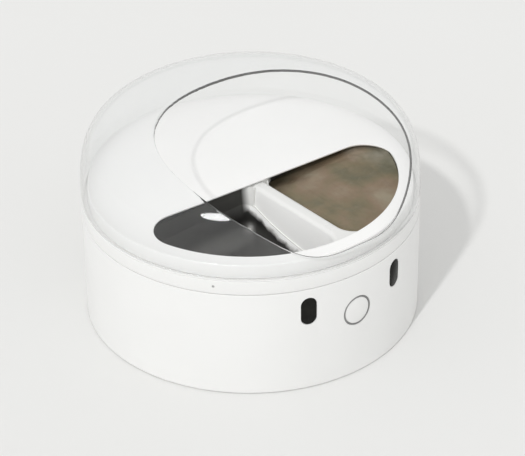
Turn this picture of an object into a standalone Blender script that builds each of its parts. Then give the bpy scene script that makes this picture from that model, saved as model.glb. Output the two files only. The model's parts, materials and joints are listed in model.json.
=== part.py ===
"""Automatic pet feeder: round base, turning four-well tray, deck with a half-moon window and clear hood.

The frame has +Z up and the front at -Y. The origin is on the floor under the centre. Lengths are in metres.
"""
import math

import bmesh
import bpy
from mathutils import Matrix, Vector

MM = 0.001
GAP = 0.3 * MM

# Outer form
BODY_R = 120 * MM
BASE_Z = 0.5 * MM
BODY_TOP = 81.6 * MM
BOTTOM_ROUND = 0.6 * MM
WALL = 3 * MM
COLLAR_R = 119.8 * MM
COLLAR_Z = 82 * MM
COLLAR_TOP = 92.6 * MM
SPIGOT_R = 115.6 * MM
SPIGOT_Z = 78 * MM
COLLAR_IN = 113 * MM

# Clear hood: a superellipse of revolution that starts at HOOD_BASE
HOOD_BASE = 82.6 * MM
HOOD_HEIGHT = 73.1 * MM
HOOD_POWER = 4.65
HOOD_DRAFT = 0.004
HOOD_WALL = 2.4 * MM
HOLE_HALF = 86 * MM
HOLE_POWER = 2.22
HOLE_TILT = math.radians(8.1)
HOLE_CENTRE = Vector((0, -35 * MM, 120 * MM))
HOLE_SILL = 98 * MM

# Deck and its half-moon window
DECK_R = 115.2 * MM
DECK_TOP = 103.2 * MM
DECK_THICK = 2.4 * MM
DECK_EDGE = 0.8 * MM
WINDOW_R = 104.5 * MM
WINDOW_CHORD = 10.5 * MM
WINDOW_CORNER = 21.2 * MM
WINDOW_TURN = math.radians(-1.9)

# Tray with four wells
TRAY_R = 107 * MM
TRAY_Z = 58 * MM
TRAY_TOP = DECK_TOP - DECK_THICK - 0.6 * MM
TRAY_RIM = 1.5 * MM
WELL_FLOOR = 60.3 * MM
DIVIDER = 10 * MM
WELL_CORNER = 16 * MM
HUB_CORNER = 4 * MM
SHARPEST_CORNER = 0.5 * MM
WELL_DRAFT = 3.2 * MM
LINER_WALL = 0.9 * MM
LINER_TOP = 99.9 * MM
LIP_Z = 63 * MM
LIP_START = -40 * MM
LIP_CURVE = 1190 * MM * MM
LIP_SIDE = 16 * MM
LIP_REACH = 30 * MM
FOOD_TOP = 99.6 * MM
TRAY_TURN = math.radians(3)
TABLE_R = 85 * MM
LUG_R = 3 * MM
LUG_RING = 62 * MM
LUG_HEIGHT = 4 * MM

# Drive
GEAR_MODULE = 2 * MM
WHEEL_TEETH = 60
PINION_TEETH = 12
GEAR_Z = 46.7 * MM
GEAR_FACE = 6 * MM
SPINDLE_R = 4 * MM
SPINDLE_TOP = 56 * MM
CHASSIS_Z = 34 * MM
CHASSIS_THICK = 3 * MM
CHASSIS_R = BODY_R - WALL - GAP
SHELF = 1.5 * MM
BOSS_TOP = 40.3 * MM
CHASSIS_SCREWS = [math.radians(a) for a in (32, 148, 251)]
CHASSIS_SCREW_R = 110 * MM
SHAFT_R = 2.5 * MM
MOTOR_Y = GEAR_MODULE * (WHEEL_TEETH + PINION_TEETH) / 2

# Front controls
SENSOR_ANGLE = math.radians(18.2)
SENSOR_Z = 64 * MM
SENSOR_WIDTH = 11 * MM
SENSOR_HEIGHT = 21.2 * MM
PANE_BACK = 115.9 * MM
BUTTON_Z = 52.1 * MM
RING_R = 11.2 * MM
RING_BACK = 114.6 * MM
RING_FLANGE = 1 * MM
CAP_R = 10 * MM
CAP_BACK = 113 * MM
STEM_BACK = 112.4 * MM
SWITCH_Y = -110.5 * MM
SWITCH_THICK = 1.4 * MM
PANEL_Y = -108.9 * MM
PANEL_THICK = 1.2 * MM
MARK_ANGLE = math.radians(-139.3)
MARK_Z = 87.7 * MM
MARK_R = 0.7 * MM

# Underside
COVER_R = 107.7 * MM
COVER_THICK = 2.6 * MM
FLANGE_R = 101 * MM
FOOT_R = 8 * MM
FOOT_RING = 88 * MM
FOOT_TOP = 1.9 * MM
SCREW_RING = 104.3 * MM
CELL_R = 7.2 * MM
CELL_LENGTH = 50.5 * MM
CELL_PITCH = 15.4 * MM
CELLS_X = 50 * MM
CELLS_Y = -25 * MM
CELLS_Z = 12.9 * MM
DOOR_SIZE = (66 * MM, 56 * MM)
CASE_HEIGHT = 20 * MM
CASE_WALL = 1.5 * MM
SPEAKER_AT = (-48 * MM, -42 * MM)
SPEAKER_R = 18 * MM
BOARD_Z = 24 * MM
BOARD_THICK = 1.6 * MM
MOTOR_R = 17 * MM
MOTOR_Z = 9 * MM
HEAD_R = 2.8 * MM
SHANK_R = 1.2 * MM
INLET_SIZE = (9.6 * MM, 3.8 * MM)
INLET_Z = 20 * MM
THROUGH_WALL = (100 * MM, 130 * MM)

ROUND = 72


def collection(name):
    """Make a collection in the scene."""
    group = bpy.data.collections.new(name)
    bpy.context.scene.collection.children.link(group)
    return group


def material(name, colour, roughness, metallic=0.0):
    """Make a Principled material."""
    made = bpy.data.materials.new(name)
    made.use_nodes = True
    shader = made.node_tree.nodes["Principled BSDF"]
    shader.inputs["Base Color"].default_value = (*colour, 1)
    shader.inputs["Roughness"].default_value = roughness
    shader.inputs["Metallic"].default_value = metallic
    return made


def add_object(name, mesh, look, group=None):
    """Link a mesh as one named object with its own material."""
    thing = bpy.data.objects.new(name, mesh)
    (group or PARTS).objects.link(thing)
    if look:
        mesh.materials.append(look)
    return thing


def as_cutter(thing):
    """Move an object to the cutters."""
    for group in thing.users_collection:
        group.objects.unlink(thing)
    CUTTERS.objects.link(thing)
    thing.hide_render = True
    thing.display_type = "WIRE"
    return thing


def boolean(thing, other, operation="DIFFERENCE"):
    """Cut, join or intersect an object with a cutter."""
    as_cutter(other)
    step = thing.modifiers.new(operation.title(), "BOOLEAN")
    step.operation = operation
    step.solver = "EXACT"
    step.object = other
    return thing


def arc(centre_r, centre_z, radius, start, end, steps=5):
    """Points of an arc in the (radius, height) plane, angles in degrees."""
    turn = [math.radians(start + (end - start) * i / steps) for i in range(steps + 1)]
    return [(centre_r + radius * math.cos(a), centre_z + radius * math.sin(a)) for a in turn]


def turned(name, profile, look, closed=True, steps=ROUND):
    """Turn a profile, given as (radius, height) down its outer side, about Z."""
    mesh = bpy.data.meshes.new(name)
    points = [(r, 0, z) for r, z in profile]
    edges = [(i, i + 1) for i in range(len(points) - 1)]
    if closed:
        edges.append((len(points) - 1, 0))
    mesh.from_pydata(points, edges, [])
    thing = add_object(name, mesh, look)
    screw = thing.modifiers.new("Screw", "SCREW")
    screw.axis = "Z"
    screw.steps = steps
    screw.render_steps = steps
    screw.use_merge_vertices = True
    screw.merge_threshold = 0.00001
    screw.use_smooth_shade = True
    return thing


def disc(name, radius, low, high, look, at=(0, 0), steps=32):
    """A solid cylinder along Z, with its origin at height 0."""
    mesh = bpy.data.meshes.new(name)
    shape = bmesh.new()
    lift = Matrix.Translation((0, 0, (low + high) / 2))
    bmesh.ops.create_cone(shape, cap_ends=True, segments=steps, radius1=radius, radius2=radius,
                          depth=high - low, matrix=lift)
    shape.to_mesh(mesh)
    shape.free()
    mesh.shade_smooth()
    mesh.set_sharp_from_angle(angle=math.radians(40))
    thing = add_object(name, mesh, look)
    thing.location = (at[0], at[1], 0)
    return thing


def ring(name, outer, inner, low, high, look, steps=ROUND):
    """A plain ring about Z."""
    return turned(name, [(outer, high), (outer, low), (inner, low), (inner, high)], look, steps=steps)


def box(name, size, centre, look):
    """A plain box."""
    mesh = bpy.data.meshes.new(name)
    shape = bmesh.new()
    bmesh.ops.create_cube(shape, size=1, matrix=Matrix.Diagonal((*size, 1)))
    shape.to_mesh(mesh)
    shape.free()
    thing = add_object(name, mesh, look)
    thing.location = centre
    return thing


def prism(name, outline, low, high, look):
    """Raise a flat outline from low to high, made a mesh so that it can cut."""
    curve = bpy.data.curves.new(name, "CURVE")
    curve.dimensions = "2D"
    curve.fill_mode = "BOTH"
    curve.extrude = (high - low) / 2
    spline = curve.splines.new("POLY")
    spline.points.add(len(outline) - 1)
    for point, (x, y) in zip(spline.points, outline):
        point.co = (x, y, 0, 1)
    spline.use_cyclic_u = True
    guide = bpy.data.objects.new(name + "_outline", curve)
    PARTS.objects.link(guide)
    mesh = bpy.data.meshes.new_from_object(guide.evaluated_get(bpy.context.evaluated_depsgraph_get()))
    bpy.data.objects.remove(guide)
    shape = bmesh.new()
    shape.from_mesh(mesh)
    bmesh.ops.remove_doubles(shape, verts=shape.verts, dist=0.000001)
    bmesh.ops.translate(shape, verts=shape.verts, vec=(0, 0, (low + high) / 2))
    shape.to_mesh(mesh)
    shape.free()
    mesh.materials.clear()
    return add_object(name, mesh, look)


def loft(name, sections, look):
    """Close a solid through outlines with equal point counts, each given as (outline, height)."""
    shape = bmesh.new()
    loops = [[shape.verts.new((x, y, z)) for x, y in outline] for outline, z in sections]
    count = len(loops[0])
    for low, high in zip(loops, loops[1:]):
        for i in range(count):
            j = (i + 1) % count
            shape.faces.new((low[i], low[j], high[j], high[i]))
    shape.faces.new(loops[0][::-1])
    shape.faces.new(loops[-1])
    bmesh.ops.recalc_face_normals(shape, faces=shape.faces)
    mesh = bpy.data.meshes.new(name)
    shape.to_mesh(mesh)
    shape.free()
    return add_object(name, mesh, look)


def outward(thing, angle, height):
    """Turn an object whose own Z axis should point out of the wall, at an angle from the front."""
    thing.rotation_euler = (math.pi / 2, 0, angle)
    thing.location = (0, 0, height)
    return thing


def round_corner(centre, radius, start, end, steps):
    """Points of a corner arc in plan, angles in radians."""
    turn = [start + (end - start) * i / steps for i in range(steps + 1)]
    return [(centre[0] + radius * math.cos(a), centre[1] + radius * math.sin(a)) for a in turn]


def well_outline(inset=0.0):
    """Rounded quarter-circle outline in the +X -Y quarter, tighter at the hub, moved in by inset."""
    side = DIVIDER / 2 + inset
    outer = TRAY_R - TRAY_RIM - inset
    corner = WELL_CORNER - inset
    hub = max(HUB_CORNER - inset, SHARPEST_CORNER)
    near = side + corner
    far = math.sqrt((outer - corner) ** 2 - near ** 2)
    turn = math.atan2(near, far)
    points = round_corner((side + hub, -side - hub), hub, math.pi / 2, math.pi, 5)
    points += round_corner((near, -far), corner, math.pi, 1.5 * math.pi + turn, 5)
    points += round_corner((0, 0), outer, turn - math.pi / 2 + 0.06, -turn - 0.06, 10)
    points += round_corner((far, -near), corner, -turn, math.pi / 2, 5)
    return points


def window_outline(grow=0.0):
    """Half-moon outline in front of the chord, with rounded corners."""
    outer = WINDOW_R + grow
    corner = WINDOW_CORNER + grow
    near = WINDOW_CHORD - grow + corner
    side = math.sqrt((outer - corner) ** 2 - near ** 2)
    turn = math.atan2(near, side)
    points = round_corner((0, 0), outer, -turn - 0.03, turn - math.pi + 0.03, 32)
    points += round_corner((-side, -near), corner, turn - math.pi, -1.5 * math.pi, 8)
    points += round_corner((side, -near), corner, math.pi / 2, -turn, 8)
    return points


def hood_point(angle):
    """One point of the hood's outer profile, from the rim (0) to the crown (pi / 2)."""
    rise = math.sin(angle) ** (2 / HOOD_POWER)
    radius = BODY_R * (1 - HOOD_DRAFT * rise) * math.cos(angle) ** (2 / HOOD_POWER)
    return radius, HOOD_BASE + HOOD_HEIGHT * rise


def hood_profile(steps=11):
    """Outer profile of the hood from the crown down to its rim on the collar."""
    low = ((COLLAR_TOP + GAP - HOOD_BASE) / HOOD_HEIGHT) ** (HOOD_POWER / 2)
    start = math.asin(low)
    spread = [start + (math.pi / 2 - start) * (i / steps) ** 1.3 for i in range(steps)]
    return [(0, HOOD_BASE + HOOD_HEIGHT)] + [hood_point(a) for a in reversed(spread)]


def wall_radius(height):
    """Outer radius of the hood at a height."""
    rise = (height - HOOD_BASE) / HOOD_HEIGHT
    return BODY_R * (1 - HOOD_DRAFT * rise) * (1 - rise ** HOOD_POWER) ** (1 / HOOD_POWER)


def outside_hood(point):
    """True where a point lies outside the hood's outer surface."""
    if point.z >= HOOD_BASE + HOOD_HEIGHT:
        return True
    return math.hypot(point.x, point.y) > wall_radius(point.z)


def rim_point(angle):
    """Where the feeding hole's side, a soft square, meets the hood, but no lower than the sill."""
    tilt = Matrix.Rotation(HOLE_TILT, 3, "X")
    bulge = abs(math.cos(angle)) ** HOLE_POWER + abs(math.sin(angle)) ** HOLE_POWER
    reach = HOLE_HALF / bulge ** (1 / HOLE_POWER)
    foot = HOLE_CENTRE + tilt @ Vector((reach * math.cos(angle), reach * math.sin(angle), 0))
    axis = tilt @ Vector((0, 0, 1))
    low = (HOLE_SILL - foot.z) / axis.z
    if outside_hood(foot + axis * low):
        edge = foot + axis * low
        inward = wall_radius(HOLE_SILL) / math.hypot(edge.x, edge.y)
        return Vector((edge.x * inward, edge.y * inward, HOLE_SILL))
    high = low + HOOD_HEIGHT
    for _ in range(30):
        middle = (low + high) / 2
        if outside_hood(foot + axis * middle):
            high = middle
        else:
            low = middle
    return foot + axis * low


def hole_cutter(steps=56):
    """Cone from inside the hood through the rim of the feeding hole, which cuts square to the wall."""
    apex = Vector((0, HOLE_CENTRE.y, 70 * MM))
    shape = bmesh.new()
    tip = shape.verts.new(apex)
    reach = [apex + (rim_point(2 * math.pi * i / steps) - apex) * 1.3 for i in range(steps)]
    loop = [shape.verts.new(point) for point in reach]
    cap = shape.verts.new(sum(reach, Vector()) / steps + Vector((0, 0, 60 * MM)))
    for i, vert in enumerate(loop):
        following = loop[(i + 1) % steps]
        shape.faces.new((tip, following, vert))
        shape.faces.new((cap, vert, following))
    bmesh.ops.recalc_face_normals(shape, faces=shape.faces)
    mesh = bpy.data.meshes.new("feeding_hole")
    shape.to_mesh(mesh)
    shape.free()
    return add_object("feeding_hole", mesh, None)


def gear_outline(teeth, clearance=0.0):
    """Straight-flanked teeth, four points to a tooth, backed off by a clearance."""
    pitch = GEAR_MODULE * teeth / 2
    tip = pitch + 0.9 * GEAR_MODULE - clearance
    root = pitch - 1.15 * GEAR_MODULE
    step = 2 * math.pi / teeth
    points = []
    for i in range(teeth):
        for share, radius in ((-0.28, root), (-0.11, tip), (0.11, tip), (0.28, root)):
            angle = (i + share) * step
            points.append((radius * math.cos(angle), radius * math.sin(angle)))
    return points


def pill_outline(width, height, steps=8):
    """Upright outline with half-round ends."""
    radius = width / 2
    rise = height / 2 - radius
    return (round_corner((0, rise), radius, 0, math.pi, steps)
            + round_corner((0, -rise), radius, math.pi, 2 * math.pi, steps))


def slot_outline(width, height, steps=6):
    """Level outline with half-round ends."""
    return [(y, -x) for x, y in pill_outline(height, width, steps)]


def around(radius, count, first=math.pi / 4):
    """Places spaced evenly on a circle."""
    turn = [first + 2 * math.pi * i / count for i in range(count)]
    return [(radius * math.cos(a), radius * math.sin(a)) for a in turn]


def skin(name, radius, low=BASE_Z, high=BODY_TOP):
    """A solid round the body axis, used to trim a piece flush with the wall."""
    return as_cutter(disc(name, radius, low, high, None, steps=ROUND))


def base_shell():
    """Outer wall with a shelf for the chassis, a flange for the cover and openings front and rear."""
    shelf_r = BODY_R - WALL - SHELF
    flange_low = BASE_Z + COVER_THICK + GAP
    flange_high = flange_low + 2.5 * MM
    shelf = CHASSIS_Z - GAP
    profile = [(BODY_R, BODY_TOP)]
    profile += arc(BODY_R - BOTTOM_ROUND, BASE_Z + BOTTOM_ROUND, BOTTOM_ROUND, 0, -90, 3)
    profile += [(COVER_R + GAP, BASE_Z), (COVER_R + GAP, flange_low), (FLANGE_R, flange_low)]
    profile += [(FLANGE_R, flange_high), (shelf_r, flange_high), (shelf_r, shelf)]
    profile += [(BODY_R - WALL, shelf), (BODY_R - WALL, BODY_TOP)]
    shell = turned("base_shell", profile, WHITE)
    for i, angle in enumerate(CHASSIS_SCREWS):
        spot = (CHASSIS_SCREW_R * math.cos(angle), CHASSIS_SCREW_R * math.sin(angle))
        boolean(shell, disc(f"boss_{i}", 6 * MM, 6 * MM, shelf, None, spot, 20), "UNION")
        boolean(shell, disc(f"boss_hole_{i}", 1.5 * MM, 24 * MM, CHASSIS_Z, None, spot, 12))
    for i, spot in enumerate(around(SCREW_RING, 4)):
        boolean(shell, disc(f"flange_hole_{i}", 1.7 * MM, BASE_Z, flange_high + MM, None, spot, 12))
    for side in (-1, 1):
        outline = pill_outline(SENSOR_WIDTH + 2 * GAP, SENSOR_HEIGHT + 2 * GAP)
        hole = prism(f"sensor_hole_{side}", outline, *THROUGH_WALL, None)
        boolean(shell, outward(hole, side * SENSOR_ANGLE, SENSOR_Z))
    hole = disc("button_hole", RING_R + GAP, *THROUGH_WALL, None, steps=48)
    boolean(shell, outward(hole, 0, BUTTON_Z))
    outline = slot_outline(INLET_SIZE[0] + 2 * GAP, INLET_SIZE[1] + 2 * GAP)
    boolean(shell, outward(prism("inlet_hole", outline, *THROUGH_WALL, None), math.pi, INLET_Z))
    return shell


def bottom_cover():
    """Disc that closes the base from below, with foot pockets, a battery doorway and speaker slots."""
    low = BASE_Z
    high = BASE_Z + COVER_THICK
    cover = disc("bottom_cover", COVER_R, low, high, GREY, steps=ROUND)
    for i, spot in enumerate(around(FOOT_RING, 4)):
        boolean(cover, disc(f"foot_pocket_{i}", FOOT_R + GAP, 0, FOOT_TOP + GAP, None, spot, 24))
    for i, spot in enumerate(around(SCREW_RING, 4)):
        boolean(cover, disc(f"cover_hole_{i}", 1.7 * MM, 0, high + MM, None, spot, 12))
        boolean(cover, disc(f"cover_sink_{i}", 3.2 * MM, 0, low + 1.2 * MM, None, spot, 16))
    doorway = (DOOR_SIZE[0] + 2 * GAP, DOOR_SIZE[1] + 2 * GAP, 20 * MM)
    boolean(cover, box("doorway", doorway, (CELLS_X, CELLS_Y, 0), None))
    for i in range(-2, 3):
        slot = (20 * MM, 1.6 * MM, 20 * MM)
        spot = (SPEAKER_AT[0], SPEAKER_AT[1] + 4 * MM * i, 0)
        boolean(cover, box(f"sound_slot_{i + 2}", slot, spot, None))
    return cover


def feet_and_screws():
    """Four feet, four cover screws and three chassis screws."""
    for i, spot in enumerate(around(FOOT_RING, 4)):
        disc(f"foot_{i + 1}", FOOT_R, 0, FOOT_TOP, RUBBER, spot, 24)
    for i, spot in enumerate(around(SCREW_RING, 4)):
        screw_at(f"cover_screw_{i + 1}", spot, BASE_Z + 0.2 * MM, 0.8 * MM, 7 * MM)
    for i, angle in enumerate(CHASSIS_SCREWS):
        spot = (CHASSIS_SCREW_R * math.cos(angle), CHASSIS_SCREW_R * math.sin(angle))
        head = CHASSIS_Z + CHASSIS_THICK + GAP + 1.8 * MM
        screw_at(f"chassis_screw_{i + 1}", spot, head, -1.8 * MM, 25 * MM)


def screw_at(name, spot, face, head, tip):
    """A plain pan head from its face over head, which is negative downward, then the shank to its tip."""
    neck = face + head
    outline = [(0, face), (HEAD_R, face), (HEAD_R, neck), (SHANK_R, neck), (SHANK_R, tip), (0, tip)]
    if head > 0:
        outline.reverse()
    thing = turned(name, outline, STEEL, closed=False, steps=16)
    thing.location = (*spot, 0)
    return thing


def chassis():
    """Plate on the shelf, with the spindle boss and the holes for the shaft and the screws."""
    top = CHASSIS_Z + CHASSIS_THICK
    bore = SPINDLE_R + GAP
    profile = [(13 * MM, BOSS_TOP), (13 * MM, top), (CHASSIS_R, top), (CHASSIS_R, CHASSIS_Z)]
    profile += [(bore, CHASSIS_Z), (bore, BOSS_TOP)]
    plate = turned("chassis_plate", profile, GREY, steps=48)
    boolean(plate, disc("shaft_hole", 6 * MM, CHASSIS_Z - MM, top + MM, None, (0, MOTOR_Y), 24))
    for i, angle in enumerate(CHASSIS_SCREWS):
        spot = (CHASSIS_SCREW_R * math.cos(angle), CHASSIS_SCREW_R * math.sin(angle))
        boolean(plate, disc(f"chassis_hole_{i}", 1.6 * MM, CHASSIS_Z - MM, top + MM, None, spot, 12))
    return plate


def drive():
    """Spindle, washer, turntable, tooth wheel, pinion, shaft and gear motor."""
    head = CHASSIS_Z - 2 * MM
    profile = [(0, SPINDLE_TOP), (SPINDLE_R, SPINDLE_TOP)]
    profile += [(SPINDLE_R, CHASSIS_Z - GAP), (8 * MM, CHASSIS_Z - GAP)]
    turned("spindle", profile + [(8 * MM, head), (0, head)], STEEL, closed=False, steps=32)
    bore = SPINDLE_R + GAP
    ring("thrust_washer", 9 * MM, bore, BOSS_TOP + GAP, BOSS_TOP + 0.8 * MM, GREY, 32)
    hub_low = BOSS_TOP + 1.1 * MM
    wheel_top = GEAR_Z + GEAR_FACE
    pocket = SPINDLE_TOP + GAP
    profile = [(0, TRAY_Z - GAP), (TABLE_R, TRAY_Z - GAP), (TABLE_R, wheel_top + GAP)]
    profile += [(12 * MM, wheel_top + GAP), (12 * MM, hub_low)]
    profile += [(bore, hub_low), (bore, pocket), (0, pocket)]
    table = turned("turntable", profile, GREY, closed=False, steps=48)
    for i, spot in enumerate(around(LUG_RING, 4, TRAY_TURN)):
        lug = disc(f"lug_{i}", LUG_R, wheel_top + MM, TRAY_Z + LUG_HEIGHT, None, spot, 16)
        boolean(table, lug, "UNION")
    wheel = prism("tooth_wheel", gear_outline(WHEEL_TEETH), GEAR_Z, wheel_top, GREY)
    boolean(wheel, disc("wheel_bore", 12.3 * MM, GEAR_Z - MM, wheel_top + MM, None, steps=32))
    pinion = prism("drive_pinion", gear_outline(PINION_TEETH, 0.25 * MM), GEAR_Z, wheel_top, BRASS)
    bore = disc("pinion_bore", SHAFT_R + GAP, GEAR_Z - MM, wheel_top + MM, None, (0, MOTOR_Y), 20)
    boolean(pinion, bore)
    pinion.location.y = MOTOR_Y
    pinion.rotation_euler.z = math.pi / PINION_TEETH
    disc("motor_shaft", SHAFT_R, CHASSIS_Z + GAP, wheel_top, STEEL, (0, MOTOR_Y), 20)
    body = [(0, CHASSIS_Z - GAP), (MOTOR_R, CHASSIS_Z - GAP), (MOTOR_R, 23 * MM), (13 * MM, 22 * MM)]
    motor = turned("gear_motor", body + [(13 * MM, MOTOR_Z), (0, MOTOR_Z)], STEEL, closed=False, steps=32)
    motor.location.y = MOTOR_Y


def electronics():
    """Control board, speaker, battery box and cells, door, and the power inlet."""
    board = box("control_board", (72 * MM, 52 * MM, BOARD_THICK), (-42 * MM, 0, BOARD_Z), BOARD)
    for i, (x, y, size) in enumerate(((-58, 8, 12), (-34, -8, 9), (-20, 12, 7), (-60, -14, 6))):
        chip = box(f"chip_{i}", (size * MM, size * MM, 3 * MM), (x * MM, y * MM, BOARD_Z + 2 * MM), None)
        boolean(board, chip, "UNION")
    profile = [(10 * MM, 9.6 * MM), (10 * MM, 7.5 * MM), (SPEAKER_R, 7.5 * MM), (SPEAKER_R, 5 * MM)]
    speaker = turned("speaker", [(0, 9.6 * MM)] + profile + [(0, 5 * MM)], BLACK, closed=False, steps=32)
    speaker.location = (*SPEAKER_AT, 0)
    floor = BASE_Z + COVER_THICK + GAP
    middle = floor + CASE_HEIGHT / 2
    case = box("battery_box", (*DOOR_SIZE, CASE_HEIGHT), (CELLS_X, CELLS_Y, middle), GREY)
    inner = (DOOR_SIZE[0] - 2 * CASE_WALL, DOOR_SIZE[1] - 2 * CASE_WALL, CASE_HEIGHT)
    boolean(case, box("battery_room", inner, (CELLS_X, CELLS_Y, middle - CASE_WALL), None))
    for i in range(4):
        cell = disc(f"battery_cell_{i + 1}", CELL_R, -CELL_LENGTH / 2, CELL_LENGTH / 2, CELL, steps=24)
        cell.rotation_euler.x = math.pi / 2 * (1 if i % 2 else -1)
        cell.location = (CELLS_X + (i - 1.5) * CELL_PITCH, CELLS_Y, CELLS_Z)
    door = (*DOOR_SIZE, COVER_THICK)
    box("battery_door", door, (CELLS_X, CELLS_Y, BASE_Z + COVER_THICK / 2), GREY)
    plug = prism("power_inlet", slot_outline(*INLET_SIZE), 108 * MM, 119 * MM, STEEL)
    outward(plug, math.pi, INLET_Z)
    mouth = slot_outline(INLET_SIZE[0] - MM, INLET_SIZE[1] - MM)
    boolean(plug, outward(prism("inlet_mouth", mouth, 110 * MM, 121 * MM, None), math.pi, INLET_Z))
    tongue = box("inlet_tongue", (6.4 * MM, 9 * MM, 0.9 * MM), (0, 113.5 * MM, INLET_Z), None)
    boolean(plug, tongue, "UNION")


def front_controls():
    """Sensor windows and modules, and the button with its ring, spring, switch and board."""
    for side, word in ((-1, "left"), (1, "right")):
        outline = pill_outline(SENSOR_WIDTH, SENSOR_HEIGHT)
        pane = prism(f"sensor_window_{word}", outline, PANE_BACK, 130 * MM, BLACK)
        outward(pane, side * SENSOR_ANGLE, SENSOR_Z)
        boolean(pane, skin(f"pane_skin_{word}", BODY_R - 0.2 * MM), "INTERSECT")
        middle = Matrix.Rotation(side * SENSOR_ANGLE, 3, "Z") @ Vector((0, -113.6 * MM, SENSOR_Z))
        module = box(f"sensor_module_{word}", (10 * MM, 3.4 * MM, 15 * MM), middle, BOARD)
        module.rotation_euler.z = side * SENSOR_ANGLE
    face = RING_BACK + RING_FLANGE
    flange = RING_R + 1.2 * MM
    bore = CAP_R + GAP
    profile = [(RING_R, 130 * MM), (RING_R, face), (flange, face), (flange, RING_BACK)]
    rim = turned("button_ring", profile + [(bore, RING_BACK), (bore, 130 * MM)], METAL, steps=36)
    boolean(outward(rim, 0, BUTTON_Z), skin("ring_skin", BODY_R - 0.02 * MM), "INTERSECT")
    lip = CAP_R + 1 * MM
    lip_top = RING_BACK - GAP
    profile = [(0, 130 * MM), (CAP_R, 130 * MM), (CAP_R, lip_top), (lip, lip_top), (lip, CAP_BACK)]
    profile += [(7 * MM, CAP_BACK), (7 * MM, lip_top), (2 * MM, lip_top)]
    profile += [(2 * MM, STEM_BACK), (0, STEM_BACK)]
    cap = turned("button_cap", profile, WHITE, closed=False, steps=36)
    boolean(outward(cap, 0, BUTTON_Z), skin("cap_skin", BODY_R - 0.1 * MM), "INTERSECT")
    box("button_board", (22 * MM, PANEL_THICK, 18 * MM), (0, PANEL_Y, BUTTON_Z), BOARD)
    box("button_switch", (6 * MM, SWITCH_THICK, 6 * MM), (0, SWITCH_Y, BUTTON_Z), BLACK)
    spring(5.8 * MM, 109.9 * MM, 112.6 * MM)


def spring(radius, low, high):
    """Return spring round the switch, two and a half turns of round wire."""
    wire = 0.3 * MM
    curve = bpy.data.curves.new("button_spring", "CURVE")
    curve.dimensions = "3D"
    curve.bevel_depth = wire
    curve.bevel_resolution = 1
    curve.use_fill_caps = True
    line = curve.splines.new("POLY")
    count = 36
    line.points.add(count)
    for i, point in enumerate(line.points):
        angle = 2 * math.pi * 2.5 * i / count
        height = low + wire + (high - low - 2 * wire) * i / count
        point.co = (radius * math.cos(angle), radius * math.sin(angle), height, 1)
    coil = bpy.data.objects.new("button_spring", curve)
    PARTS.objects.link(coil)
    curve.materials.append(STEEL)
    outward(coil, 0, BUTTON_Z)


def lid():
    """Collar, seal, mark, deck and hood."""
    profile = [(COLLAR_R, COLLAR_TOP), (COLLAR_R, COLLAR_Z), (SPIGOT_R, COLLAR_Z), (SPIGOT_R, SPIGOT_Z)]
    collar = turned("collar_ring", profile + [(COLLAR_IN, SPIGOT_Z), (COLLAR_IN, COLLAR_TOP)], WHITE)
    hole = disc("mark_hole", MARK_R + GAP, 117 * MM, 130 * MM, None, steps=16)
    turn = MARK_ANGLE + math.pi / 2
    boolean(collar, outward(hole, turn, MARK_Z))
    outward(disc("align_mark", MARK_R, 117.3 * MM, 119.6 * MM, GREY, steps=16), turn, MARK_Z)
    seal = SPIGOT_Z + 0.5 * MM
    ring("seal_ring", BODY_R - WALL - GAP, SPIGOT_R + GAP, seal, seal + 2.8 * MM, RUBBER, 48)
    low = COLLAR_TOP + GAP
    under = DECK_TOP - DECK_THICK
    profile = [(0, DECK_TOP)] + arc(DECK_R - MM, DECK_TOP - MM, MM, 90, 0, 3)
    profile += [(DECK_R, low), (DECK_R - DECK_THICK, low), (DECK_R - DECK_THICK, under), (0, under)]
    deck = turned("deck", profile, WHITE, closed=False)
    boolean(deck, window_cutter(under))
    hood = turned("clear_hood", hood_profile(), CLEAR, closed=False, steps=60)
    wall = hood.modifiers.new("Wall", "SOLIDIFY")
    wall.thickness = HOOD_WALL
    wall.offset = -1
    boolean(hood, hole_cutter())


def window_cutter(under):
    """Half-moon cutter that leaves a thin top edge and slopes away below it."""
    wide = window_outline(DECK_THICK - DECK_EDGE)
    plain = window_outline()
    sections = [(wide, under - 5 * MM), (wide, under)]
    sections += [(plain, DECK_TOP - DECK_EDGE), (plain, DECK_TOP + 5 * MM)]
    window = loft("window", sections, None)
    window.rotation_euler.z = WINDOW_TURN
    return window


def tray():
    """Four-well tray with a thin steel liner in each well and food in one."""
    profile = [(0, TRAY_TOP), (TRAY_R, TRAY_TOP), (TRAY_R, TRAY_Z), (0, TRAY_Z)]
    pan = turned("food_tray", profile, WHITE, closed=False)
    for i in range(4):
        turn = TRAY_TURN + i * math.pi / 2
        sections = ((well_outline(WELL_DRAFT), WELL_FLOOR), (well_outline(), TRAY_TOP + MM))
        well = loft(f"well_{i}", sections, None)
        well.rotation_euler.z = turn
        boolean(pan, well)
        liner(i, turn)
    for i, spot in enumerate(around(LUG_RING, 4, TRAY_TURN)):
        top = TRAY_Z + LUG_HEIGHT + GAP
        boolean(pan, disc(f"lug_pocket_{i}", LUG_R + GAP, TRAY_Z - MM, top, None, spot, 16))
    food_portion()


def liner_inset(height):
    """How far the liner's outer face stands in from the well's top outline, inside the drafted wall."""
    return GAP + WELL_DRAFT * (TRAY_TOP + MM - height) / (TRAY_TOP + MM - WELL_FLOOR)


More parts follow.
